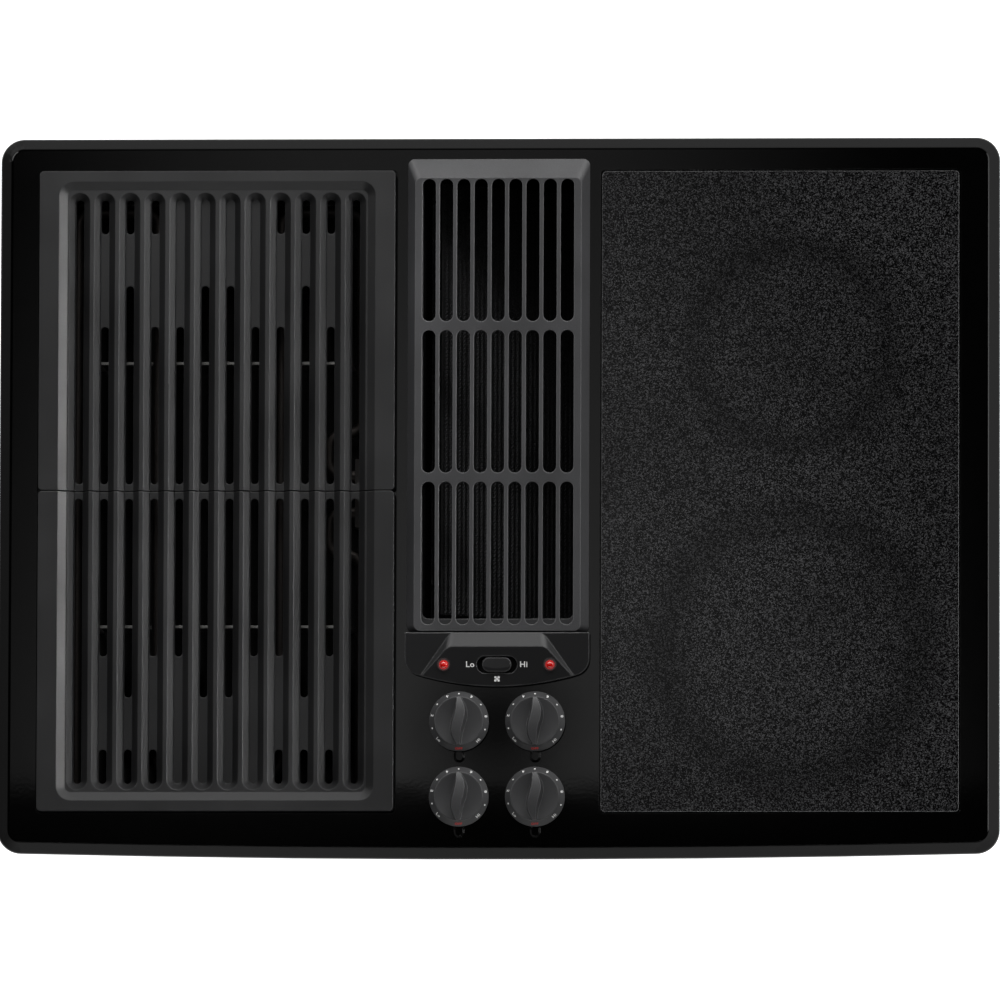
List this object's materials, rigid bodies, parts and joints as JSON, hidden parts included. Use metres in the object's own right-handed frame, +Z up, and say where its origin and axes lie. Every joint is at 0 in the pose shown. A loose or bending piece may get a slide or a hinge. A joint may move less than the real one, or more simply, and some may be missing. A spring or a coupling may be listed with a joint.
{
  "type": "downdraft cooktop",
  "caption": "Black electric downdraft cooktop with a grill bay under ribbed grates, a glass-ceramic cartridge, a middle air grille over a slanted filter, a console, knobs and a blower below.",
  "frame": {"origin": "centre of the countertop plane under the rim gasket", "axes": "+X to the right along the long side, +Y to the back, +Z up out of the countertop"},
  "size_m": [0.7588, 0.5479, 0.4446],
  "materials": {
    "top_enamel": "gloss porcelain enamel with orange peel",
    "basin_enamel": "gloss porcelain enamel",
    "gasket_foam": "closed-cell foam tape",
    "galvanised_steel": "galvanised sheet",
    "duct_enamel": "black porcelain enamel",
    "grate_coating": "dark satin non-stick coating on a casting",
    "grille_paint": "satin black paint",
    "glass_ceramic": "gloss black with fine grey speckle",
    "filter_metal": "bare expanded mesh and folded channel",
    "console_plastic": "semi-gloss black",
    "knob_plastic": "fine matte black with pale legends",
    "lens_red": "translucent red",
    "switch_plastic": "moulded phenolic",
    "socket_ceramic": "dark glazed steatite",
    "element_sheath": "dull heat-stained alloy tube",
    "strap_steel": "stainless strip",
    "heater_fibre": "pressed ceramic fibre",
    "heater_quartz": "clear quartz tube",
    "plated_steel": "zinc plated",
    "wheel_steel": "bare formed sheet",
    "motor_paint": "satin black"
  },
  "bodies": {
    "chassis": {"main_top": "top_enamel", "rim_gasket": "gasket_foam", "burner_box": "galvanised_steel", "left_basin": "basin_enamel", "right_basin": "basin_enamel", "vent_plenum": "duct_enamel", "filter_frame": "filter_metal", "filter_mesh": "filter_metal", "drip_pan": "basin_enamel", "left_receptacle": "socket_ceramic", "right_receptacle": "socket_ceramic", "console_shell": "console_plastic", "signal_lenses": "lens_red", "signal_lamps": "switch_plastic", "fan_switch_body": "switch_plastic", "control_bracket": "galvanised_steel", "rear_left_switch": "switch_plastic", "rear_right_switch": "switch_plastic", "front_left_switch": "switch_plastic", "front_right_switch": "switch_plastic", "switch_nuts": "plated_steel", "blower_housing": "galvanised_steel", "blower_inlet_ring": "galvanised_steel", "blower_motor": "motor_paint", "exhaust_collar": "galvanised_steel", "junction_box": "galvanised_steel", "junction_box_cover": "galvanised_steel", "hold_down_brackets": "galvanised_steel", "clamp_screws": "plated_steel"},
    "rear_left_plunger": {"rear_left_collar": "plated_steel"},
    "rear_left_dial": {"rear_left_knob": "knob_plastic", "rear_left_shaft": "plated_steel"},
    "rear_right_plunger": {"rear_right_collar": "plated_steel"},
    "rear_right_dial": {"rear_right_knob": "knob_plastic", "rear_right_shaft": "plated_steel"},
    "front_left_plunger": {"front_left_collar": "plated_steel"},
    "front_left_dial": {"front_left_knob": "knob_plastic", "front_left_shaft": "plated_steel"},
    "front_right_plunger": {"front_right_collar": "plated_steel"},
    "front_right_dial": {"front_right_knob": "knob_plastic", "front_right_shaft": "plated_steel"},
    "fan_rocker": {"fan_rocker": "console_plastic"},
    "blower_rotor": {"blower_wheel": "wheel_steel", "wheel_ring": "wheel_steel", "wheel_blades": "wheel_steel", "motor_shaft": "plated_steel"},
    "rear_grate": {"rear_grill_grate": "grate_coating"},
    "front_grate": {"front_grill_grate": "grate_coating"},
    "air_grille": {"air_grille": "grille_paint"},
    "grill_heater": {"grill_element": "element_sheath", "element_terminal_block": "socket_ceramic", "element_straps": "strap_steel"},
    "cartridge": {"glass_panel": "glass_ceramic", "cartridge_frame": "galvanised_steel", "cartridge_pan": "galvanised_steel", "rear_heater_dish": "heater_fibre", "front_heater_dish": "heater_fibre", "heater_lamps": "heater_quartz", "heater_limiters": "heater_quartz", "cartridge_plug": "socket_ceramic"}
  },
  "joints": [
    {"name": "rear_left_push", "type": "slide", "parent": "chassis", "child": "rear_left_plunger", "axis": [0, 0, 1], "range_m": [-0.003, 0], "stiffness_N_per_m": 1500, "springref_m": 0.002},
    {"name": "rear_left_turn", "type": "hinge", "parent": "rear_left_plunger", "child": "rear_left_dial", "pos_m": [-0.0288, -0.1704, 0.013], "axis": [0, 0, 1], "continuous": true},
    {"name": "rear_right_push", "type": "slide", "parent": "chassis", "child": "rear_right_plunger", "axis": [0, 0, 1], "range_m": [-0.003, 0], "stiffness_N_per_m": 1500, "springref_m": 0.002},
    {"name": "rear_right_turn", "type": "hinge", "parent": "rear_right_plunger", "child": "rear_right_dial", "pos_m": [0.0288, -0.1704, 0.013], "axis": [0, 0, 1], "continuous": true},
    {"name": "front_left_push", "type": "slide", "parent": "chassis", "child": "front_left_plunger", "axis": [0, 0, 1], "range_m": [-0.003, 0], "stiffness_N_per_m": 1500, "springref_m": 0.002},
    {"name": "front_left_turn", "type": "hinge", "parent": "front_left_plunger", "child": "front_left_dial", "pos_m": [-0.0288, -0.2274, 0.013], "axis": [0, 0, 1], "continuous": true},
    {"name": "front_right_push", "type": "slide", "parent": "chassis", "child": "front_right_plunger", "axis": [0, 0, 1], "range_m": [-0.003, 0], "stiffness_N_per_m": 1500, "springref_m": 0.002},
    {"name": "front_right_turn", "type": "hinge", "parent": "front_right_plunger", "child": "front_right_dial", "pos_m": [0.0288, -0.2274, 0.013], "axis": [0, 0, 1], "continuous": true},
    {"name": "fan_rocker_tilt", "type": "hinge", "parent": "chassis", "child": "fan_rocker", "pos_m": [0, -0.1279, 0.01932], "axis": [0, 1, 0], "range_deg": [-8, 8]},
    {"name": "blower_spin", "type": "hinge", "parent": "chassis", "child": "blower_rotor", "pos_m": [0.1, 0.05, -0.215], "axis": [1, 0, 0], "continuous": true},
    {"name": "rear_grate_lift", "type": "slide", "parent": "chassis", "child": "rear_grate", "axis": [0, 0, 1], "range_m": [0, 0.12]},
    {"name": "front_grate_lift", "type": "slide", "parent": "chassis", "child": "front_grate", "axis": [0, 0, 1], "range_m": [0, 0.12]},
    {"name": "air_grille_lift", "type": "slide", "parent": "chassis", "child": "air_grille", "axis": [0, 0, 1], "range_m": [0, 0.12]},
    {"name": "grill_heater_unplug", "type": "slide", "parent": "chassis", "child": "grill_heater", "axis": [-1, 0, 0], "range_m": [0, 0.012]},
    {"name": "cartridge_tilt", "type": "hinge", "parent": "chassis", "child": "cartridge", "pos_m": [0.0783, 0.0047, 0.006], "axis": [0, -1, 0], "range_deg": [0, 8]}
  ]
}
